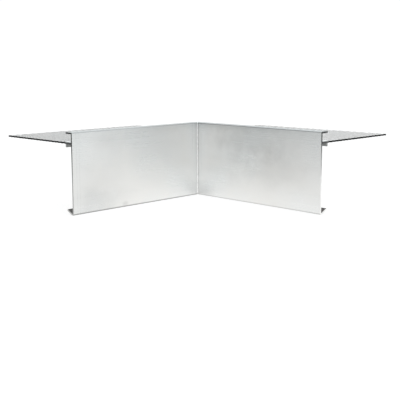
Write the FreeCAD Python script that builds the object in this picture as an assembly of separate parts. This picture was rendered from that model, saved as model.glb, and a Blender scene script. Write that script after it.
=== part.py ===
"""Inner corner of an aluminium deck-edge trim: two mitred arms, each a fascia profile with a perforated flange.

Millimetres, +Z up. The two fascias meet at 90 degrees. The right arm runs along +X and the left arm along -Y, so
their front faces look towards -Y and +X. The origin is the centre of the whole part's footprint, at the height of
the fascias' lowest edges.
"""

import FreeCAD
import Part
import math
import os

# Driving dimensions
ARM_LENGTH = 250.0  # along a fascia's front face, from the corner to the free end
FASCIA_HEIGHT = 120.0
FLANGE_REACH = 170.0  # from a fascia's front face to the flange's back edge
WALL = 2.5  # fascia, lip, ledge, rib, drip return and flange
LIP_RADIUS = 1.5  # outside of the bend between fascia and lip
RETURN_RADIUS = 3.0  # outside of the bend between fascia and drip return
EDGE_RADIUS = 0.5  # small rounds on the free edges and in the inner corners
LIP_DEPTH = 15.0
LEDGE_DROP = 14.5  # from a fascia's top down to the top of the ledge and flange
RIB_BACK = 15.6  # from a fascia's front face to the rib's back face
RIB_HEIGHT = 5.0  # below the ledge
RETURN_REACH = 16.0
RETURN_ANGLE = math.radians(25.0)  # the drip return rises towards the back

SEAM_WIDTH = 1.0  # weld seam in the mitre and between ledge and flange

HOLE_RADIUS = 2.5  # perforation: staggered round holes
HOLE_PITCH = 8.0
HOLES_ACROSS = 19  # in the rows that are in line with the cut row at the free end
CORNER_WEB = 5.0  # least solid width between the flange's corner end and a hole's centre

ANGLE_LEG = 50.0  # bent angle behind the mitre
ANGLE_WALL = 2.0
ANGLE_BOTTOM = 12.0
ANGLE_TOP = 94.0
ANGLE_INNER_RADIUS = 1.0
GLUE = 0.5
GLUE_INSET = 3.0  # from the angle's edges to the glue's edges

KEY_LEG = 60.0  # flat corner key in the slots under the ledges
KEY_THICKNESS = 4.0
KEY_PLAY = 0.4  # between the key's edges and the slot's walls
KEY_CORNER_RADIUS = 1.0

# Places that follow from them
LEDGE_TOP = FASCIA_HEIGHT - LEDGE_DROP
LEDGE_BOTTOM = LEDGE_TOP - WALL
RIB_FRONT = RIB_BACK - WALL
RIB_BOTTOM = LEDGE_BOTTOM - RIB_HEIGHT
FLANGE_FRONT = RIB_BACK + SEAM_WIDTH
CORNER = FreeCAD.Vector((FLANGE_REACH - ARM_LENGTH) / 2, (ARM_LENGTH - FLANGE_REACH) / 2, 0)
MITRE_STEP = SEAM_WIDTH / math.sqrt(2)  # the mitre seam's half width, measured along an arm
OVERRUN = 25.0  # how far the mitre's cutting blocks run past what they cut
UP = FreeCAD.Vector(0, 0, 1)


class Arm:
    """One arm of the corner, with its own coordinates: u along it, v towards its back, z up."""

    def __init__(self, name, along, back):
        self.name = name
        self.along = FreeCAD.Vector(*along)
        self.back = FreeCAD.Vector(*back)

    def point(self, u, v, z):
        return CORNER + self.along * u + self.back * v + UP * z


ARMS = [Arm("right", (1, 0, 0), (0, 1, 0)), Arm("left", (0, -1, 0), (-1, 0, 0))]


def rounded_outline(corners):
    """A closed wire through (point, radius) corners, each rounded by an arc where its radius isn't 0."""
    stops = []
    for index, (point, radius) in enumerate(corners):
        before = (corners[index - 1][0] - point).normalize()
        after = (corners[(index + 1) % len(corners)][0] - point).normalize()
        if not radius:
            stops.append((point, None, point))
            continue
        half_angle = before.getAngle(after) / 2
        inwards = (before + after).normalize()
        setback = radius / math.tan(half_angle)
        middle = point + inwards * (radius / math.sin(half_angle) - radius)
        stops.append((point + before * setback, middle, point + after * setback))
    edges = []
    for index, (start, middle, end) in enumerate(stops):
        previous_end = stops[index - 1][2]
        edges.append(Part.makeLine(previous_end, start))
        if middle is not None:
            edges.append(Part.Arc(start, middle, end).toShape())
    return Part.Wire(edges)


def prism(corners, direction):
    """The rounded outline filled and extruded along a vector."""
    return Part.Face(rounded_outline(corners)).extrude(direction)


def section(arm, u):
    """The fascia profile's section at u: fascia, top lip, ledge with its rib, and drip return."""
    rise = math.tan(RETURN_ANGLE)
    tangent_v = RETURN_RADIUS * (1 + math.sin(RETURN_ANGLE))
    tangent_z = RETURN_RADIUS * (1 - math.cos(RETURN_ANGLE))
    shift_v = WALL * math.sin(RETURN_ANGLE)
    shift_z = WALL * math.cos(RETURN_ANGLE)
    tip_z = tangent_z + (RETURN_REACH - tangent_v) * rise
    inside_z = tangent_z + shift_z + (WALL - tangent_v + shift_v) * rise
    corners = [
        (0, tangent_z - tangent_v * rise, RETURN_RADIUS),
        (0, FASCIA_HEIGHT, LIP_RADIUS),
        (LIP_DEPTH, FASCIA_HEIGHT, EDGE_RADIUS),
        (LIP_DEPTH, FASCIA_HEIGHT - WALL, EDGE_RADIUS),
        (WALL, FASCIA_HEIGHT - WALL, EDGE_RADIUS),
        (WALL, LEDGE_TOP, EDGE_RADIUS),
        (RIB_BACK, LEDGE_TOP, 0),
        (RIB_BACK, RIB_BOTTOM, EDGE_RADIUS),
        (RIB_FRONT, RIB_BOTTOM, EDGE_RADIUS),
        (RIB_FRONT, LEDGE_BOTTOM, EDGE_RADIUS),
        (WALL, LEDGE_BOTTOM, EDGE_RADIUS),
        (WALL, inside_z, EDGE_RADIUS),
        (RETURN_REACH - shift_v, tip_z + shift_z, EDGE_RADIUS),
        (RETURN_REACH, tip_z, EDGE_RADIUS),
    ]
    return [(arm.point(u, v, z), radius) for v, z, radius in corners]


def mitre_block(arm, start, end):
    """A block over the arm's section, between two planes parallel to the mitre: u + v = start and u + v = end."""
    corners = [(start + OVERRUN, -OVERRUN), (start - OVERRUN, OVERRUN), (end - OVERRUN, OVERRUN)]
    corners.append((end + OVERRUN, -OVERRUN))
    base = [(arm.point(u, v, -OVERRUN), 0) for u, v in corners]
    return prism(base, UP * (FASCIA_HEIGHT + 2 * OVERRUN))


def fascia_profile(arm):
    """The arm's extrusion, cut square at its free end and mitred at the corner."""
    bar = prism(section(arm, -OVERRUN), arm.along * (ARM_LENGTH + OVERRUN))
    return bar.cut(mitre_block(arm, -4 * OVERRUN, MITRE_STEP))


def mitre_seam():
    """The weld that fills the mitre, flush with both profiles and with a narrow flat in the fascias' corner."""
    halves = []
    for arm in ARMS:
        bar = prism(section(arm, -OVERRUN), arm.along * (2 * OVERRUN))
        halves.append(bar.common(mitre_block(arm, 0, MITRE_STEP)))
    right = ARMS[0]
    flat = [(0, 0), (MITRE_STEP, 0), (0, -MITRE_STEP)]
    height = FASCIA_HEIGHT - RETURN_RADIUS - LIP_RADIUS
    bead = prism([(right.point(u, v, RETURN_RADIUS), 0) for u, v in flat], UP * height)
    return halves[0].fuse([halves[1], bead]).removeSplitter()


def hole_rows():
    """(u, [v, ...]) for each row of holes, from the row that the free end cuts through to the corner end."""
    row_pitch = HOLE_PITCH * math.sqrt(3) / 2
    first_v = (FLANGE_FRONT + FLANGE_REACH - (HOLES_ACROSS - 1) * HOLE_PITCH) / 2
    count = int((ARM_LENGTH + RIB_BACK - CORNER_WEB) / row_pitch) + 1
    rows = []
    for row in range(count):
        across = HOLES_ACROSS - row % 2
        shift = HOLE_PITCH / 2 * (row % 2)
        rows.append((ARM_LENGTH - row * row_pitch, [first_v + shift + HOLE_PITCH * n for n in range(across)]))
    return rows


def perforated_flange(arm):
    """A flat strip of perforated sheet. Its free end is cut through the middle of a row of holes."""
    (end_u, cut_row), *rows = hole_rows()
    z = LEDGE_BOTTOM
    edges = []
    at = arm.point(end_u, FLANGE_FRONT, z)
    for v in cut_row:
        start = arm.point(end_u, v - HOLE_RADIUS, z)
        middle = arm.point(end_u - HOLE_RADIUS, v, z)
        end = arm.point(end_u, v + HOLE_RADIUS, z)
        edges += [Part.makeLine(at, start), Part.Arc(start, middle, end).toShape()]
        at = end
    others = [(end_u, FLANGE_REACH), (-RIB_BACK, FLANGE_REACH), (-RIB_BACK, FLANGE_FRONT), (end_u, FLANGE_FRONT)]
    for u, v in others:
        edges.append(Part.makeLine(at, arm.point(u, v, z)))
        at = arm.point(u, v, z)
    against = arm.back.cross(arm.along)  # the holes run round the other way from the outline
    circles = [Part.makeCircle(HOLE_RADIUS, arm.point(u, v, z), against) for u, row in rows for v in row]
    sheet = Part.Face([Part.Wire(edges), *[Part.Wire(circle) for circle in circles]])
    return sheet.extrude(UP * WALL)


def flange_seam(arm):
    """The butt weld between the ledge's back edge and the flange's front edge."""
    corners = [(-RIB_BACK, RIB_BACK), (ARM_LENGTH, RIB_BACK), (ARM_LENGTH, FLANGE_FRONT), (-RIB_BACK, FLANGE_FRONT)]
    return prism([(arm.point(u, v, LEDGE_BOTTOM), 0) for u, v in corners], UP * WALL)


def corner_plate(inner_v, outer_v, leg, bottom, top, inner_radius, outer_radius, tip_radius):
    """An L in plan that follows both arms, from inner_v to outer_v behind their front faces."""
    right, left = ARMS
    outline = [
        (right.point(-inner_v, inner_v, bottom), inner_radius),
        (right.point(leg, inner_v, bottom), tip_radius),
        (right.point(leg, outer_v, bottom), tip_radius),
        (right.point(-outer_v, outer_v, bottom), outer_radius),
        (left.point(leg, outer_v, bottom), tip_radius),
        (left.point(leg, inner_v, bottom), tip_radius),
    ]
    return prism(outline, UP * (top - bottom))


def backing_angle():
    """The bent angle glued to both fascias' backs, between the drip returns and the ribs."""
    inner_v = WALL + GLUE
    outer_radius = ANGLE_INNER_RADIUS + ANGLE_WALL
    sizes = (inner_v, inner_v + ANGLE_WALL, ANGLE_LEG, ANGLE_BOTTOM, ANGLE_TOP)
    return corner_plate(*sizes, ANGLE_INNER_RADIUS, outer_radius, EDGE_RADIUS)


def glue_pad(arm):
    """The glue between a fascia's back and its leg of the angle."""
    corners = [(GLUE_INSET, WALL), (ANGLE_LEG - GLUE_INSET, WALL)]
    corners += [(u, WALL + GLUE) for u, _ in reversed(corners)]
    bottom = ANGLE_BOTTOM + GLUE_INSET
    height = ANGLE_TOP - ANGLE_BOTTOM - 2 * GLUE_INSET
    return prism([(arm.point(u, v, bottom), 0) for u, v in corners], UP * height)


def slot_key():
    """The flat corner key that lies in both slots, against the ledges' undersides."""
    inner_v = WALL + KEY_PLAY
    outer_v = RIB_FRONT - KEY_PLAY
    sizes = (inner_v, outer_v, KEY_LEG, LEDGE_BOTTOM - KEY_THICKNESS, LEDGE_BOTTOM)
    return corner_plate(*sizes, 0, KEY_CORNER_RADIUS, KEY_CORNER_RADIUS)


def main():
    nodes = {
        "corner_mitre_seam": mitre_seam(),
        "corner_backing_angle": backing_angle(),
        "backing_angle_glue": Part.makeCompound([glue_pad(arm) for arm in ARMS]),
        "slot_corner_key": slot_key(),
    }
    for arm in ARMS:
        nodes[f"{arm.name}_fascia_profile"] = fascia_profile(arm)
        nodes[f"{arm.name}_perforated_flange"] = perforated_flange(arm)
        nodes[f"{arm.name}_flange_seam"] = flange_seam(arm)
    os.makedirs("parts", exist_ok=True)
    for name, shape in nodes.items():
        shape.exportStep(f"parts/{name}.step")
        volume = sum(solid.Volume for solid in shape.Solids)
        print(f"{name}: {len(shape.Solids)} solid(s), {volume:.1f} mm3, valid {shape.isValid()}")


main()
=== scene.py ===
"""Looks for the aluminium edge-trim corner: materials, weld beads, glue, soft studio light and the camera.

Metres, +Z up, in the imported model's frame. The right arm runs along +X and the left arm along -Y. As in the
CAD, u runs along an arm from the corner, v towards its back and z up.
"""

import math

import bmesh
import bpy
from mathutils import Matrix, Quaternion, Vector, noise


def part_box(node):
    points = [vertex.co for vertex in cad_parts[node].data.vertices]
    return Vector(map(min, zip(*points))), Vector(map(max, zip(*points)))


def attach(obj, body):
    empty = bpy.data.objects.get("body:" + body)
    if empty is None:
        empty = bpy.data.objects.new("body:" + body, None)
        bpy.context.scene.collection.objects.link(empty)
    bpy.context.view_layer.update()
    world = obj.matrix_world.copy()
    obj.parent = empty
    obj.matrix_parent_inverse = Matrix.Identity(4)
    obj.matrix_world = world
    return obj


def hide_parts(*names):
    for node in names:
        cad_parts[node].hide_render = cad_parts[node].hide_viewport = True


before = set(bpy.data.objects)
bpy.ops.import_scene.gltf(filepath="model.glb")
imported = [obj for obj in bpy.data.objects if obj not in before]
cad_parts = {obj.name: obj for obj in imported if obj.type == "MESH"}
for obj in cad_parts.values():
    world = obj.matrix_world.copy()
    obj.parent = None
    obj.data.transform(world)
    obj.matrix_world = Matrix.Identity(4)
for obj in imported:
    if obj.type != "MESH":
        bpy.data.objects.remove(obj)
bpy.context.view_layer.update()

MM = 0.001

# Camera, placed from the corner where the two front faces meet, in metres and radians
CAMERA_DISTANCE = 1.2581
CAMERA_SIDE = 0.0095
CAMERA_HEIGHT = 0.2176
CAMERA_YAW = -0.0044
CAMERA_PITCH = 0.1367
CAMERA_ROLL = -0.0043
LENS = 68.97
SHIFT_Y = -0.08

# Studio: the floor that the camera sees, and the card under it that the metal reflects
FLOOR_RADIUS = 4.0
FLOOR_DEPTH = 0.05 * MM
FLOOR_COLOUR = (0.32, 0.32, 0.32, 1.0)
FLOOR_ROUGH = 0.9
FLOOR_GLOW = 0.83
CARD_RADIUS = 0.80
CARD_DEPTH = 0.1 * MM
CARD_COLOUR = (1.0, 1.0, 0.985, 1.0)
CARD_NEAR = 0.96  # light level under the object
CARD_FADE = (0.1, 0.5)  # distances over which the near level gives way to CARD_LEVELS
STUDIO_COLOUR = (0.95, 0.992, 1.0, 1.0)
WHITE = (1.0, 1.0, 1.0, 1.0)
BACKGROUND = 1.05

# Light levels in front, at the right, behind and at the left, on the card, low down and higher up
CARD_LEVELS = (0.80, 1.06, 0.9, 0.77)
LOW_LEVELS = (0.55, 0.58, 1.06, 0.44)
SKY_LEVELS = (0.5, 0.84, 1.14, 0.12)
ZENITH = 1.1
LOW_TO_SKY = (0.05, 0.30)  # z of a direction of length 1
SKY_TO_ZENITH = (0.6, 0.98)

# Places on an arm, in millimetres
LIP_BEND = 1.5  # height of the rounded bend at the fascia's top
RETURN_BEND = 3.0  # height of the rounded bend at its bottom
BEND_BLUR = 0.2  # above and below the edge of the top bend
BEND_FADE = 120.0  # how far from the corner the painted shade on the top bend changes
FRONT_DEPTH = (1.6, 1.2)  # behind it, what faces out is no longer the front face
CHANNEL_TOP = (14.0, 11.0)  # top of the groove inside the drip return
CHANNEL_SHADE_SPAN = (215.0, 235.0)  # where the painted shade in that groove deepens towards the free end
CUT_SHADE_FADE = (40.0, 105.0)  # where the painted shade on the fascia's sawn end changes
RIB_START = (12.6, 13.0)  # just in front of the rib
RIB_TOP = (0.1, -0.3)  # from just above the ledge's underside to just below it
SHADED_END_ROW = (4.0, 3.0)  # how far from the free end the painted shade on the walls of the flange's sawn row of holes reaches

# Noise in cells per metre, along an arm, towards its back and up
DRAWN_LINES = (3.0, 1400.0, 1400.0)
DIE_BANDS = (1.5, 60.0, 60.0)
CLOUDS = (11.0, 11.0, 11.0)
RAGGED_EDGES = (35.0, 35.0, 35.0)
SCUFFS = (25.0, 500.0, 900.0)
SAW_MARKS = (900.0, 900.0, 120.0)
PUNCH_MARKS = (700.0, 700.0, 90.0)
ROLLED_CLOUDS = (14.0, 14.0, 14.0)
WELD_FROST = (1800.0, 1800.0, 1800.0)
WELD_CLOUDS = (120.0, 120.0, 120.0)
WELD_SPECKS = (600.0, 600.0, 600.0)
GLUE_GRAIN = (900.0, 900.0, 900.0)
GLUE_CLOUDS = (90.0, 90.0, 90.0)
GLUE_PINHOLES = (700.0, 700.0, 700.0)

# Finish of the metal. A bump is the strength of the fine lines, a stretch that of the anisotropy.
MILL_BASE = 0.97
MILL_ROUGH = 0.30
MILL_BUMP = 0.05
MILL_STRETCH = 0.6
MILL_WEAR = 0.06
BAND_TONE = 0.05
SCUFF_TONE = -0.015
SCUFF_ROUGH = 0.08
LINE_CHANGE = 0.03
CLOUD_ROUGH = 0.03
WEAR_ROUGH = -0.08
# Painted shade on the lip's top, as a share of the metal's tone
LIP_SHADE_BASE = 0.56
# Painted shade on the faces that don't face out, and in the groove inside the drip return, deepest near its
# free end
BACK_SHADE_BASE = 0.60
CHANNEL_SHADE_BASE = 0.60
CHANNEL_END_SHADE = 0.16
# Painted tone of the rib's sawn end, as a share of the metal's tone
RIB_END_SHADE = 0.6
DARK_LINE_FADE = (0.5, 1.1)  # strength of an upright dark line at the bottom and at the top
# Painted shade on the hole walls, as a share of the metal's tone, and the share of that left on the walls of
# the sawn row at the free end
HOLE_SHADE_BASE = 0.35
END_SHADE_SHARE = 0.06
SHEET_ROUGH = (0.32, 0.42)
SHEET_BUMP = 0.08
SHEET_STRETCH = 0.4
SHEET_WEAR = 0.05
ROLLED_BUMP = 0.1
ROLLED_STRETCH = 0.3
ROLLED_WEAR = 0.15
ROLLED_WEAR_ROUGH = -0.1
ROLLED_LINES = 0.05
BEAD_BUMP = 0.2
BEAD_FROST = 0.06
SPECK_SHARE = 0.75
# Painted shade on a bead's sawn end, as a share of its tone
BEAD_END_SHADE = 0.15
WEAR_REACH = 0.35 * MM

# Each surface drifts between two tints
MILL_TINTS = ((0.985, 0.997, 1.0, 1.0), (1.0, 0.997, 0.985, 1.0))
SHEET_TINTS = ((1.0, 0.968, 0.962, 1.0), (1.0, 0.956, 0.936, 1.0))
ROLLED_TINTS = ((0.98, 0.99, 1.0, 1.0), (1.0, 0.995, 0.98, 1.0))
GLUE_TINTS = ((0.20, 0.20, 0.21, 1.0), (0.31, 0.31, 0.31, 1.0))
PINHOLE_COLOUR = (0.08, 0.08, 0.08, 1.0)

# Weld beads, in millimetres
RINGS_PER_RIPPLE = 4
ARC_POINTS = 9
CRESCENT = 0.5  # how far a ripple's middle runs ahead of its sides
HIDDEN = 0.25  # how deep a bead's edges lie in the metal
END_SHARE = 0.35  # share of a bead's size that is left at its very ends
FILLET_LEG = 1.7
FILLET_RIPPLE = 0.9
FILLET_DEPTH = 0.1
FILLET_CROWN = 0.1  # share of the leg
FILLET_UNEVEN = 0.12
FILLET_WAVES = 0.15  # cells of its unevenness per millimetre
BUTT_WIDTH = 3.6
BUTT_CROWN = 0.45
BUTT_RIPPLE = 1.9
BUTT_STEP = (0.75, 0.35)  # height of a ripple's low end, and how much higher its other end is
BUTT_UNEVEN = 0.10
BUTT_WAVES = 0.12
BUTT_DRIFT = 0.25
DRIFT_WAVES = 0.03
ROOT_TOP = (0.6, 1.0)  # half width, and depth below the flange's top
ROOT_BOTTOM = (0.5, 0.1)  # half width, and depth below its underside

# Glue squeezed out round the backing angle, in millimetres
GLUE_START = 7.0
GLUE_THICKNESS = 0.5
GLUE_CORNER = 2.0
GLUE_ARC_STEP = 15  # degrees
GLUE_SPACING = 0.8
GLUE_TUCK = 1.5
GLUE_SPREAD = (0.2, 1.9)  # least spread, and what is added on the open sides
GLUE_HEIGHT = 1.2
GLUE_PROFILE = ((0.04, 1.0), (0.4, 0.92), (0.7, 0.71), (0.9, 0.44), (1.0, -0.05))
GLUE_UNEVEN = (0.9, 0.4)  # of the spread and of the height
GLUE_TIGHT = 0.4  # share of the height that is left beside the corner
GLUE_LUMPS = 0.11  # cells per millimetre of the broad and the fine unevenness
GLUE_RIPPLES = 0.5
RIPPLE_SHARE = 0.4

DIAGONAL = math.sqrt(0.5)
FRONT = Vector((DIAGONAL, -DIAGONAL, 0))  # from the corner towards the viewer
SIDE = Vector((DIAGONAL, DIAGONAL, 0))  # to the viewer's right
UP = Vector((0, 0, 1))

left_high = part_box("left_fascia_profile")[1]
right_low, right_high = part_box("right_fascia_profile")
CORNER = Vector((left_high.x, right_low.y, 0))
ARM_LENGTH = (right_high.x - CORNER.x) / MM
FASCIA_HEIGHT = right_high.z / MM


class Arm:
    """One arm of the corner, with its own patches of painted light and shade and its own tones.

    The painted patches are soft ovals of painted light and shade on the front: u, z, half width, half height
    and change of tone. The dark lines are faint upright lines: u, half width and change of tone. The bend
    tones are painted shade on the bend at the top, at the corner and beyond BEND_FADE. The bottom shade tone
    is painted shade along the lowest edge. The cut tones are painted shade on the fascia's sawn end, at the
    bottom and at the top.
    The sheet tone is the flange's tone and carries painted light and shade that differ between the arms.
    """

    def __init__(self, name, along, back, painted_patches, dark_lines, bend, bottom_shade, cut, sheet):
        self.name = name
        self.along = Vector(along)
        self.back = Vector(back)
        self.painted_patches = painted_patches
        self.dark_lines = dark_lines
        self.bend = bend
        self.bottom_shade = bottom_shade
        self.cut = cut
        self.sheet = sheet

    def point(self, u, v, z):
        """A place in metres from u, v and z in millimetres."""
        return CORNER + (self.along * u + self.back * v + UP * z) * MM


# Soft patches of painted light and shade on each front; the long, flat ones just under the top bend are
# painted shade.
LEFT_PAINTED_PATCHES = (
    (190, 104, 26, 16, -0.05),
    (128, 88, 34, 34, 0.05),
    (215, 42, 80, 50, -0.07),
    (70, 48, 120, 60, 0.10),
    (155, 5, 7, 5, -0.12),
    (215, 12, 60, 34, -0.09),
    (141, 22, 34, 14, -0.02),
    (40, 119, 100, 11, -0.10),
)
RIGHT_PAINTED_PATCHES = (
    (120, 96, 95, 34, -0.14),
    (160, 58, 95, 34, -0.08),
    (82, 72, 24, 14, -0.03),
    (14, 8, 30, 20, -0.13),
    (65, 62, 95, 44, -0.07),
    (100, 119, 170, 11, -0.10),
)
# Upright dark lines: those beside the corner are painted shade and painted reflections beside the weld, and
# those near the left arm's free end darken thin upright strips.
LEFT_DARK_LINES = ((243, 0.8, -0.06), (238, 0.8, -0.06), (11.5, 1.2, -0.05), (4.6, 1.4, -0.04))
RIGHT_DARK_LINES = ((2.3, 1.4, -0.24), (6.0, 5.0, -0.04))
# The bend, lowest-edge and cut tones of each arm are painted shade, and its sheet tone carries painted light
# and shade.
RIGHT_ARM = Arm(
    name="right",
    along=(1, 0, 0),
    back=(0, 1, 0),
    painted_patches=RIGHT_PAINTED_PATCHES,
    dark_lines=RIGHT_DARK_LINES,
    bend=(0.7, 0.85),
    bottom_shade=0.68,
    cut=(1.0, 0.12),
    sheet=0.95,
)
LEFT_ARM = Arm(
    name="left",
    along=(0, -1, 0),
    back=(-1, 0, 0),
    painted_patches=LEFT_PAINTED_PATCHES,
    dark_lines=LEFT_DARK_LINES,
    bend=(0.42, 0.6),
    bottom_shade=0.42,
    cut=(0.5, 0.12),
    sheet=0.84,
)


class Graph:
    """A node tree with short calls for the nodes that these shaders are made of."""

    def __init__(self, tree):
        self.tree = tree
        tree.nodes.clear()

    def node(self, kind, inputs=None, **settings):
        made = self.tree.nodes.new(kind)
        for name, value in settings.items():
            setattr(made, name, value)
        for key, value in (inputs or {}).items():
            self.feed(made.inputs[key], value)
        return made

    def feed(self, socket, value):
        if isinstance(value, bpy.types.NodeSocket):
            self.tree.links.new(value, socket)
        else:
            socket.default_value = value

    def math(self, operation, *values):
        return self.node("ShaderNodeMath", dict(enumerate(values)), operation=operation).outputs[0]

    def product(self, first, *others):
        for other in others:
            first = self.math("MULTIPLY", first, other)
        return first

    def vector(self, operation, *values, out=0):
        return self.node("ShaderNodeVectorMath", dict(enumerate(values)), operation=operation).outputs[out]

    def scaled(self, vector, factor):
        inputs = {0: vector, "Scale": factor}
        return self.node("ShaderNodeVectorMath", inputs, operation="SCALE").outputs[0]

    def dot(self, a, b):
        return self.vector("DOT_PRODUCT", a, b, out=1)

    def parts(self, vector):
        return self.node("ShaderNodeSeparateXYZ", {0: vector}).outputs

    def join(self, x, y, z):
        return self.node("ShaderNodeCombineXYZ", {0: x, 1: y, 2: z}).outputs[0]

    def remap(self, value, from_low, from_high, to_low=0.0, to_high=1.0, smooth=False):
        inputs = {0: value, 1: from_low, 2: from_high, 3: to_low, 4: to_high}
        kind = "SMOOTHSTEP" if smooth else "LINEAR"
        return self.node("ShaderNodeMapRange", inputs, interpolation_type=kind).outputs[0]

    def ramp(self, place, start, end, to_low=0.0, to_high=1.0):
        """A value that changes between two places in millimetres."""
        return self.remap(place, start * MM, end * MM, to_low, to_high)

    def spread(self, value, low, high):
        """Noise brought from its usual range to another one."""
        return self.remap(value, 0.3, 0.7, low, high)

    def cloudy(self, clouds, tints):
        """A colour that drifts between two tints."""
        return self.mix(self.remap(clouds, 0.38, 0.62), *tints)

    def blend(self, factor, a, b):
        """A blend of two numbers."""
        return self.node("ShaderNodeMix", {0: factor, 2: a, 3: b}, data_type="FLOAT").outputs[0]

    def mix(self, factor, a, b):
        """A blend of two colours."""
        return self.node("ShaderNodeMix", {0: factor, 6: a, 7: b}, data_type="RGBA").outputs[2]

    def around(self, front, side, levels):
        """A level that changes smoothly with the direction that front and side give."""
        total = 0.0
        for part, sign, level in zip((front, side, front, side), (1, 1, -1, -1), levels):
            share = self.math("MAXIMUM", self.math("MULTIPLY", part, sign), 0.0)
            total = self.math("MULTIPLY_ADD", self.math("POWER", share, 2.0), level, total)
        length = self.math("ADD", self.math("POWER", front, 2.0), self.math("POWER", side, 2.0))
        return self.math("DIVIDE", total, self.math("MAXIMUM", length, 1e-6))

    def noise(self, place, scale, detail=2.0, roughness=0.5):
        """Noise of the place stretched by scale, in cells per metre along each axis."""
        stretched = self.vector("MULTIPLY", place, scale)
        inputs = {"Vector": stretched, "Scale": 1.0, "Detail": detail, "Roughness": roughness}
        return self.node("ShaderNodeTexNoise", inputs).outputs["Fac"]

    def spot(self, u, z, middle, half_size, ragged):
        """1 in the middle of a soft oval patch and 0 outside it, with an uneven edge."""
        across = self.math("DIVIDE", self.math("SUBTRACT", u, middle[0] * MM), half_size[0] * MM)
        upward = self.math("DIVIDE", self.math("SUBTRACT", z, middle[1] * MM), half_size[1] * MM)
        away = self.vector("LENGTH", self.join(across, upward, 0.0), out=1)
        away = self.math("ADD", away, self.spread(ragged, -0.2, 0.2))
        return self.remap(away, 1.2, 0.1, smooth=True)

    def edge_wear(self, reach):
        """1 along sharp edges, where handling polishes the metal."""
        rounded = self.node("ShaderNodeBevel", {"Radius": reach}, samples=4).outputs[0]
        flat = self.node("ShaderNodeNewGeometry").outputs["Normal"]
        return self.remap(self.dot(rounded, flat), 0.985, 0.90)

    def place_on(self, arm):
        """u, v and z of the shaded point on an arm, in metres."""
        place = self.node("ShaderNodeTexCoord").outputs["Object"]
        shifted = self.vector("SUBTRACT", place, tuple(CORNER))
        return self.dot(shifted, tuple(arm.along)), self.dot(shifted, tuple(arm.back)), self.parts(place)[2]

    def metal(self, colour, roughness, height, strength, along, stretch):
        """A metal whose fine lines run along one way, with a bump from height."""
        bump = self.node("ShaderNodeBump", {"Height": height, "Strength": strength, "Distance": 0.1 * MM})
        inputs = {"Base Color": colour, "Metallic": 1.0, "Roughness": roughness, "Normal": bump.outputs[0]}
        inputs["Tangent"] = self.join(*along)
        inputs.update({"Anisotropic": stretch, "Anisotropic Rotation": 0.25})
        shader = self.node("ShaderNodeBsdfPrincipled", inputs)
        self.node("ShaderNodeOutputMaterial", {"Surface": shader.outputs[0]})


def new_material(name):
    """A material and the graph of its emptied node tree."""
    material = bpy.data.materials.new(name)
    material.use_nodes = True
    return material, Graph(material.node_tree)


def make_camera():
    """The camera, which looks at the corner from in front and from slightly above."""
    data = bpy.data.cameras.new("camera")
    data.lens = LENS
    data.sensor_width = 36.0
    data.shift_y = SHIFT_Y
    data.clip_start = 0.01
    data.clip_end = 50.0
    camera = bpy.data.objects.new("camera", data)
    bpy.context.scene.collection.objects.link(camera)
    camera.location = CORNER + FRONT * CAMERA_DISTANCE + SIDE * CAMERA_SIDE + UP * CAMERA_HEIGHT
    level = SIDE * math.sin(CAMERA_YAW) - FRONT * math.cos(CAMERA_YAW)
    forward = level * math.cos(CAMERA_PITCH) - UP * math.sin(CAMERA_PITCH)
    camera.rotation_mode = "QUATERNION"
    camera.rotation_quaternion = forward.to_track_quat("-Z", "Y") @ Quaternion((0, 0, 1), CAMERA_ROLL)
    bpy.context.scene.camera = camera


def make_world():
    """A soft studio, bright overhead and behind, darker in front and at the left. The background is white."""
    world = bpy.data.worlds.new("studio")
    bpy.context.scene.world = world
    world.use_nodes = True
    g = Graph(world.node_tree)
    direction = g.node("ShaderNodeTexCoord").outputs["Generated"]
    height = g.parts(direction)[2]
    front = g.dot(direction, tuple(FRONT))
    side = g.dot(direction, tuple(SIDE))
    low = g.around(front, side, LOW_LEVELS)
    sky = g.around(front, side, SKY_LEVELS)
    level = g.blend(g.remap(height, *LOW_TO_SKY, smooth=True), low, sky)
    level = g.blend(g.remap(height, *SKY_TO_ZENITH, smooth=True), level, ZENITH)
    studio = g.node("ShaderNodeBackground", {0: STUDIO_COLOUR, 1: level})
    white = g.node("ShaderNodeBackground", {0: WHITE, 1: BACKGROUND})
    seen = g.node("ShaderNodeLightPath").outputs["Is Camera Ray"]
    both = g.node("ShaderNodeMixShader", {0: seen, 1: studio.outputs[0], 2: white.outputs[0]})
    g.node("ShaderNodeOutputWorld", {"Surface": both.outputs[0]})


def stage_disc(name, radius, depth, material):
    """A flat disc just under the object, as part of the studio."""
    mesh = bpy.data.meshes.new(name)
    shape = bmesh.new()
    bmesh.ops.create_circle(shape, cap_ends=True, segments=96, radius=radius)
    shape.to_mesh(mesh)
    shape.free()
    mesh.materials.append(material)
    disc = bpy.data.objects.new(name, mesh)
    bpy.context.scene.collection.objects.link(disc)
    disc.location = (0, 0, -depth)
    return disc


def make_floor():
    """A pale floor that the camera sees, but that neither lights the metal nor shows in it."""
    paper, g = new_material("floor")
    inputs = {"Base Color": FLOOR_COLOUR, "Roughness": FLOOR_ROUGH, "Specular IOR Level": 0.0}
    inputs.update({"Emission Color": WHITE, "Emission Strength": FLOOR_GLOW})
    shader = g.node("ShaderNodeBsdfPrincipled", inputs)
    g.node("ShaderNodeOutputMaterial", {"Surface": shader.outputs[0]})
    floor = stage_disc("floor", FLOOR_RADIUS, FLOOR_DEPTH, paper)
    floor.visible_glossy = False
    floor.visible_diffuse = False


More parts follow.
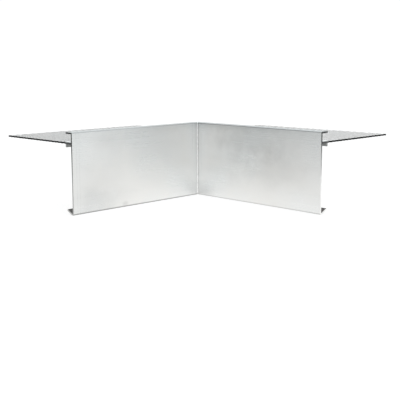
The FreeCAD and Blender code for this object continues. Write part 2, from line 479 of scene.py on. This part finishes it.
def make_card():
    """The pale card that the metal reflects, just under the floor."""
    card, g = new_material("card")
    place = g.node("ShaderNodeTexCoord").outputs["Object"]
    far = g.around(g.dot(place, tuple(FRONT)), g.dot(place, tuple(SIDE)), CARD_LEVELS)
    distance = g.vector("LENGTH", place, out=1)
    glow = g.blend(g.remap(distance, *CARD_FADE, smooth=True), CARD_NEAR, far)
    shader = g.node("ShaderNodeEmission", {"Color": CARD_COLOUR, "Strength": glow})
    g.node("ShaderNodeOutputMaterial", {"Surface": shader.outputs[0]})
    reflector = stage_disc("card", CARD_RADIUS, CARD_DEPTH, card)
    reflector.visible_camera = False


def add_painted_light_and_shade(g, arm, u, z, ragged, tone):
    """The tone of the front with the arm's patches of painted light and shade and its upright dark lines."""
    for middle_u, middle_z, half_width, half_height, change in arm.painted_patches:
        patch = g.spot(u, z, (middle_u, middle_z), (half_width, half_height), ragged)
        tone = g.math("MULTIPLY_ADD", patch, change, tone)
    for middle, half_width, change in arm.dark_lines:
        away = g.math("ABSOLUTE", g.math("SUBTRACT", u, middle * MM))
        line = g.ramp(away, half_width, 0.4 * half_width)
        line = g.product(line, g.ramp(z, 0.0, FASCIA_HEIGHT, *DARK_LINE_FADE))
        tone = g.math("MULTIPLY_ADD", line, change, tone)
    return tone


def sawn_profile_end(g, arm, place, v, z):
    """The colour of a profile's sawn end: painted shade on the fascia's end that deepens with height, and the
    rib's end at one even painted tone.
    """
    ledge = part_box(arm.name + "_perforated_flange")[0].z / MM
    # Painted shade on the fascia's sawn end, deeper towards the top
    fading = g.ramp(z, *CUT_SHADE_FADE, *arm.cut)
    rib = g.product(g.ramp(v, *RIB_START), g.ramp(z, ledge + RIB_TOP[0], ledge + RIB_TOP[1]))
    saw = g.spread(g.noise(place, SAW_MARKS), 0.85, 1.15)
    tone = g.product(saw, g.math("MAXIMUM", fading, g.product(rib, RIB_END_SHADE)))
    return g.join(tone, tone, tone)


def mill_aluminium(arm):
    """A drawn profile with die lines and patches of painted light and shade, and with painted shade on the
    faces that don't face out, on the top bend and lip, in the groove, on the sawn ends and along the lowest
    edge.
    """
    material, g = new_material(arm.name + "_mill")
    u, v, z = g.place_on(arm)
    place = g.join(u, v, z)
    normal = g.node("ShaderNodeTexCoord").outputs["Normal"]
    upward = g.parts(normal)[2]
    outward = g.dot(normal, tuple(-arm.back))
    endways = g.math("ABSOLUTE", g.dot(normal, tuple(arm.along)))

    lines = g.noise(place, DRAWN_LINES, detail=3.0)
    bands = g.noise(place, DIE_BANDS, detail=3.0)
    clouds = g.noise(place, CLOUDS, detail=3.0)
    ragged = g.noise(place, RAGGED_EDGES, detail=3.0, roughness=0.6)
    scuffs = g.remap(g.noise(place, SCUFFS, detail=4.0), 0.68, 0.76)
    wear = g.edge_wear(WEAR_REACH)

    bend_start = FASCIA_HEIGHT - LIP_BEND
    near_top = g.ramp(z, bend_start - BEND_BLUR, bend_start + BEND_BLUR)
    lip = g.product(near_top, g.remap(upward, 0.90, 0.97))
    bend = g.product(near_top, g.remap(upward, 0.10, 0.25), g.remap(upward, 0.97, 0.90))
    in_front = g.product(g.remap(outward, 0.02, 0.2), g.ramp(v, *FRONT_DEPTH))
    shown = g.math("MAXIMUM", in_front, lip)
    channel = g.product(g.ramp(z, *CHANNEL_TOP), g.math("SUBTRACT", 1.0, shown))
    cut = g.remap(endways, 0.85, 0.95)

    tone = g.math("MULTIPLY_ADD", g.math("SUBTRACT", bands, 0.5), BAND_TONE, 1.0)
    tone = g.math("MULTIPLY_ADD", scuffs, SCUFF_TONE, tone)
    tone = add_painted_light_and_shade(g, arm, u, z, ragged, tone)
    # Painted shade along the lowest edge, deeper on the left arm
    tone = g.product(tone, g.ramp(z, 0.5 * RETURN_BEND, RETURN_BEND, arm.bottom_shade, 1.0))
    # Painted shade on the top bend, deeper near the corner, and on the lip's top
    bend_shade_tone = g.ramp(u, 0.0, BEND_FADE, *arm.bend)
    tone = g.product(tone, g.blend(lip, 1.0, LIP_SHADE_BASE), g.blend(bend, 1.0, bend_shade_tone))
    # Painted shade: faces that don't face out are darker, and the groove darker still towards the free end
    base = g.remap(shown, 0.0, 1.0, BACK_SHADE_BASE, MILL_BASE)
    base = g.blend(channel, base, g.ramp(u, *CHANNEL_SHADE_SPAN, CHANNEL_SHADE_BASE, CHANNEL_END_SHADE))
    tone = g.math("MINIMUM", g.math("MULTIPLY_ADD", wear, MILL_WEAR, g.product(tone, base)), 1.0)
    face = g.scaled(g.cloudy(clouds, MILL_TINTS), tone)
    colour = g.mix(cut, face, sawn_profile_end(g, arm, place, v, z))

    rough = g.spread(lines, MILL_ROUGH - LINE_CHANGE, MILL_ROUGH + LINE_CHANGE)
    rough = g.math("ADD", rough, g.spread(clouds, -CLOUD_ROUGH, CLOUD_ROUGH))
    rough = g.math("MULTIPLY_ADD", wear, WEAR_ROUGH, rough)
    rough = g.math("MULTIPLY_ADD", scuffs, SCUFF_ROUGH, rough)
    g.metal(colour, rough, lines, MILL_BUMP, arm.along, MILL_STRETCH)
    return material


def perforated_aluminium(arm):
    """Punched sheet: mill finish on its faces with painted light and shade per arm, polished hole rims, and
    painted shade on the hole walls, deepest in the sawn row at the free end.
    """
    material, g = new_material(arm.name + "_sheet")
    u, v, z = g.place_on(arm)
    place = g.join(u, v, z)
    normal = g.node("ShaderNodeTexCoord").outputs["Normal"]
    wall = g.remap(g.math("ABSOLUTE", g.parts(normal)[2]), 0.8, 0.5)
    lines = g.noise(place, DRAWN_LINES, detail=3.0)
    clouds = g.noise(place, CLOUDS, detail=3.0)
    wear = g.edge_wear(WEAR_REACH)
    # The sheet's tone per arm carries painted light and shade
    tone = g.spread(lines, arm.sheet - LINE_CHANGE, arm.sheet + LINE_CHANGE)
    tone = g.math("MULTIPLY_ADD", wear, SHEET_WEAR, tone)
    rough = g.math("ADD", g.spread(lines, *SHEET_ROUGH), g.spread(clouds, -CLOUD_ROUGH, CLOUD_ROUGH))
    rough = g.math("MULTIPLY_ADD", wear, WEAR_ROUGH, rough)
    # Painted shade on the hole walls, much deeper in the sawn row at the free end
    hole_wall_shade = g.product(g.spread(g.noise(place, PUNCH_MARKS), 0.8, 1.2), HOLE_SHADE_BASE)
    sawn = g.ramp(u, ARM_LENGTH - SHADED_END_ROW[0], ARM_LENGTH - SHADED_END_ROW[1], 1.0, END_SHADE_SHARE)
    hole_wall_shade = g.product(hole_wall_shade, sawn)
    face = g.scaled(g.cloudy(clouds, SHEET_TINTS), tone)
    colour = g.mix(wall, face, g.join(hole_wall_shade, hole_wall_shade, hole_wall_shade))
    g.metal(colour, rough, lines, SHEET_BUMP, arm.along, SHEET_STRETCH)
    return material


def rolled_aluminium(name, base, roughness, way):
    """Rolled sheet or bar: fine lines along one way, cloudy tone, and polished edges."""
    material, g = new_material(name)
    place = g.node("ShaderNodeTexCoord").outputs["Object"]
    along, across = DRAWN_LINES[:2]
    lines = g.noise(place, tuple(along if part else across for part in way), detail=3.0)
    clouds = g.noise(place, ROLLED_CLOUDS, detail=3.0)
    wear = g.edge_wear(WEAR_REACH)
    tone = g.math("MULTIPLY_ADD", wear, ROLLED_WEAR, g.spread(clouds, 0.94 * base, 1.04 * base))
    colour = g.scaled(g.cloudy(clouds, ROLLED_TINTS), tone)
    rough = g.math("ADD", g.spread(lines, -ROLLED_LINES, ROLLED_LINES), roughness)
    rough = g.math("MULTIPLY_ADD", wear, ROLLED_WEAR_ROUGH, rough)
    g.metal(colour, rough, lines, ROLLED_BUMP, way, ROLLED_STRETCH)
    return material


def weld_metal(name, base, roughness):
    """Bright weld metal with a fine grain, a few darker oxide specks and painted shade on its sawn ends."""
    material, g = new_material(name)
    place = g.node("ShaderNodeTexCoord").outputs["Object"]
    frost = g.noise(place, WELD_FROST, detail=3.0)
    clouds = g.noise(place, WELD_CLOUDS, detail=3.0)
    specks = g.remap(g.noise(place, WELD_SPECKS), 0.70, 0.76)
    tone = g.product(g.spread(clouds, 0.95 * base, 1.03 * base), g.remap(specks, 0.0, 1.0, 1.0, SPECK_SHARE))
    normal = g.parts(g.vector("ABSOLUTE", g.node("ShaderNodeTexCoord").outputs["Normal"]))
    # Painted shade on the sawn ends
    sawn = g.remap(g.math("MAXIMUM", normal[0], normal[1]), 0.97, 0.99)
    tone = g.product(tone, g.remap(sawn, 0.0, 1.0, 1.0, BEAD_END_SHADE))
    rough = g.math("ADD", g.spread(frost, -BEAD_FROST, BEAD_FROST), roughness)
    g.metal(g.join(tone, tone, tone), rough, frost, BEAD_BUMP, tuple(UP), 0.0)
    return material


def cured_glue():
    """Grey assembly adhesive: a smooth skin with a faint grain and pinholes."""
    material, g = new_material("cured_glue")
    place = g.node("ShaderNodeTexCoord").outputs["Object"]
    grain = g.noise(place, GLUE_GRAIN, detail=3.0)
    clouds = g.noise(place, GLUE_CLOUDS, detail=3.0)
    pinholes = g.remap(g.noise(place, GLUE_PINHOLES), 0.70, 0.74)
    colour = g.mix(g.remap(clouds, 0.35, 0.65), *GLUE_TINTS)
    colour = g.mix(pinholes, colour, PINHOLE_COLOUR)
    height = g.math("MULTIPLY_ADD", pinholes, -0.6, grain)
    bump = g.node("ShaderNodeBump", {"Height": height, "Strength": 0.3, "Distance": 0.15 * MM})
    inputs = {"Base Color": colour, "Roughness": g.spread(clouds, 0.38, 0.6)}
    inputs["Normal"] = bump.outputs[0]
    shader = g.node("ShaderNodeBsdfPrincipled", inputs)
    g.node("ShaderNodeOutputMaterial", {"Surface": shader.outputs[0]})
    return material


def dress(node, material):
    """Gives a CAD node its material."""
    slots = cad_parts[node].data.materials
    slots.clear()
    slots.append(material)


def add_piece(name, rings, material):
    """A solid piece made of rings of points that are joined in turn, with capped ends."""
    shape = bmesh.new()
    loops = [[shape.verts.new(point) for point in ring] for ring in rings]
    count = len(loops[0])
    for near, far in zip(loops, loops[1:]):
        for i in range(count):
            shape.faces.new((near[i], near[(i + 1) % count], far[(i + 1) % count], far[i]))
    shape.faces.new(list(reversed(loops[0])))
    shape.faces.new(loops[-1])
    bmesh.ops.recalc_face_normals(shape, faces=shape.faces)
    for face in shape.faces:
        face.smooth = len(face.verts) == 4
    mesh = bpy.data.meshes.new(name)
    shape.to_mesh(mesh)
    shape.free()
    mesh.materials.append(material)
    piece = bpy.data.objects.new(name, mesh)
    bpy.context.scene.collection.objects.link(piece)
    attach(piece, "root")
    return piece


def taper(end):
    """A bead's share of its full size, which grows from END_SHARE to 1 while end goes from 0 to 1."""
    return END_SHARE + (1 - END_SHARE) * end


def mitre_fillet(material):
    """A rippled weld bead in the hollow corner between the two front faces."""
    low, high = RETURN_BEND, FASCIA_HEIGHT - LIP_BEND
    steps = round((high - low) / FILLET_RIPPLE * RINGS_PER_RIPPLE)
    rings = []
    for step in range(steps + 1):
        z = low + (high - low) * step / steps
        end = min(1.0, (z - low) / FILLET_LEG, (high - z) / FILLET_LEG)
        swell = 0.5 - 0.5 * math.cos(2 * math.pi * step / RINGS_PER_RIPPLE)
        uneven = 1 + FILLET_UNEVEN * noise.noise((0.0, 0.0, FILLET_WAVES * z))
        leg = FILLET_LEG * taper(math.sqrt(end)) * uneven
        ring = [RIGHT_ARM.point(-HIDDEN, HIDDEN, z), RIGHT_ARM.point(leg - HIDDEN, HIDDEN, z)]
        for i in range(ARC_POINTS):
            across = i / (ARC_POINTS - 1)
            crown = 4 * across * (1 - across)
            flat = RIGHT_ARM.point(leg * (1 - across), -leg * across, z + CRESCENT * crown * end)
            ring.append(flat + FRONT * ((FILLET_CROWN * leg + FILLET_DEPTH * end * swell) * crown * MM))
        ring.append(RIGHT_ARM.point(-HIDDEN, -HIDDEN - leg, z))
        rings.append(ring)
    add_piece("mitre_fillet", rings, material)


def butt_bead(arm, material):
    """The rippled weld between an arm's ledge and its perforated flange, with a narrow root below."""
    low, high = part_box(arm.name + "_flange_seam")
    bottom, top = low.z / MM, high.z / MM
    middle = (arm.back.dot((low + high) / 2 - CORNER)) / MM
    start = min(arm.along.dot(low - CORNER), arm.along.dot(high - CORNER)) / MM
    steps = round((ARM_LENGTH - start) / BUTT_RIPPLE * RINGS_PER_RIPPLE)
    rings = []
    for step in range(steps + 1):
        u = start + (ARM_LENGTH - start) * step / steps
        end = math.sqrt(min(1.0, (u - start) / BUTT_WIDTH, (ARM_LENGTH - u) / BUTT_WIDTH))
        fall = 1 - step / RINGS_PER_RIPPLE % 1
        half = BUTT_WIDTH / 2 * (1 + BUTT_UNEVEN * noise.noise((BUTT_WAVES * u, 0.0, 0.0)))
        drift = BUTT_DRIFT * noise.noise((DRIFT_WAVES * u, 5.0, 0.0))
        ring = []
        for i in range(ARC_POINTS):
            across = 2 * i / (ARC_POINTS - 1) - 1
            crown = 1 - across * across
            rise = BUTT_CROWN * taper(end) * (BUTT_STEP[0] + BUTT_STEP[1] * fall) * crown
            ring.append(arm.point(u + CRESCENT * crown * end, middle + drift + half * across, top + rise))
        edge = (half, top - HIDDEN)
        neck = (ROOT_TOP[0], top - ROOT_TOP[1])
        foot = (ROOT_BOTTOM[0], bottom - ROOT_BOTTOM[1])
        sides = [edge, neck, foot]
        sides += [(-v, z) for v, z in reversed(sides)]
        ring += [arm.point(u, middle + v, z) for v, z in sides]
        rings.append(ring)
    bead = add_piece(arm.name + "_flange_bead", rings, material)
    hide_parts(arm.name + "_flange_seam")


def rounded_rectangle(low, high):
    """Points round a rectangle in u and z, each with its outward direction, as (u, z, out_u, out_z)."""
    centres = [(high[0], low[1]), (high[0], high[1]), (low[0], high[1]), (low[0], low[1])]
    inward = [(-1, 1), (-1, -1), (1, -1), (1, 1)]
    corners = []
    for quarter, ((u, z), (du, dz)) in enumerate(zip(centres, inward)):
        arc = []
        for angle in range(90 * quarter - 90, 90 * quarter + 1, GLUE_ARC_STEP):
            out_u, out_z = math.cos(math.radians(angle)), math.sin(math.radians(angle))
            centre_u, centre_z = u + du * GLUE_CORNER, z + dz * GLUE_CORNER
            arc.append((centre_u + GLUE_CORNER * out_u, centre_z + GLUE_CORNER * out_z, out_u, out_z))
        corners.append(arc)
    points = []
    for arc, following in zip(corners, corners[1:] + corners[:1]):
        start, end = arc[-1], following[0]
        count = int(math.dist(start[:2], end[:2]) / GLUE_SPACING)
        side = [[a + (b - a) * i / count for a, b in zip(start, end)] for i in range(1, count)]
        points += arc + side
    return points


def glue_bed(arm, material):
    """The glue under one leg of the backing angle, squeezed out round the leg's edges in an uneven bead."""
    low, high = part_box("corner_backing_angle")
    leg = (high.x - CORNER.x) / MM
    glue_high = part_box("backing_angle_glue")[1]
    surface = (glue_high.y - CORNER.y) / MM
    outline = rounded_rectangle((GLUE_START, low.z / MM), (leg, high.z / MM))
    tucked = [(u - GLUE_TUCK * out_u, z - GLUE_TUCK * out_z) for u, z, out_u, out_z in outline]
    rings = [[arm.point(u, surface, z) for u, z in tucked]]
    rings.append([arm.point(u, surface, z) for u, z, _, _ in outline])
    for away, rise in GLUE_PROFILE:
        ring = []
        for u, z, out_u, out_z in outline:
            uneven = noise.noise((GLUE_LUMPS * u, 7.0 * arm.along.x, GLUE_LUMPS * z))
            uneven += RIPPLE_SHARE * noise.noise((GLUE_RIPPLES * u, 3.0, GLUE_RIPPLES * z))
            open_side = min(1.0, max(0.0, (u - GLUE_START) / GLUE_START))
            spread = GLUE_SPREAD[1] * open_side * (1 + GLUE_UNEVEN[0] * uneven) + GLUE_SPREAD[0]
            height = GLUE_HEIGHT * (GLUE_TIGHT + (1 - GLUE_TIGHT) * open_side) * (1 + GLUE_UNEVEN[1] * uneven)
            v = surface - GLUE_THICKNESS + height * rise
            ring.append(arm.point(u + away * spread * out_u, v, z + away * spread * out_z))
        rings.append(ring)
    return add_piece(arm.name + "_glue_bed", rings, material)


make_camera()
make_world()
make_floor()
make_card()
bead_metal = weld_metal("bead_metal", base=0.99, roughness=0.16)
glue = cured_glue()
for arm in (RIGHT_ARM, LEFT_ARM):
    dress(arm.name + "_fascia_profile", mill_aluminium(arm))
    dress(arm.name + "_perforated_flange", perforated_aluminium(arm))
    dress(arm.name + "_flange_seam", bead_metal)
    butt_bead(arm, bead_metal)
dress("corner_mitre_seam", weld_metal("seam_metal", base=0.9, roughness=0.3))
mitre_fillet(bead_metal)
folded_sheet = rolled_aluminium("folded_sheet", base=0.72, roughness=0.34, way=(0, 0, 1))
dress("corner_backing_angle", folded_sheet)
flat_bar = rolled_aluminium("flat_bar", base=0.66, roughness=0.36, way=(1, 0, 0))
dress("slot_corner_key", flat_bar)
dress("backing_angle_glue", glue)
beds = [glue_bed(arm, glue) for arm in (RIGHT_ARM, LEFT_ARM)]
for bed in beds:
    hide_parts("backing_angle_glue")
bpy.context.scene.view_settings.view_transform = "Standard"
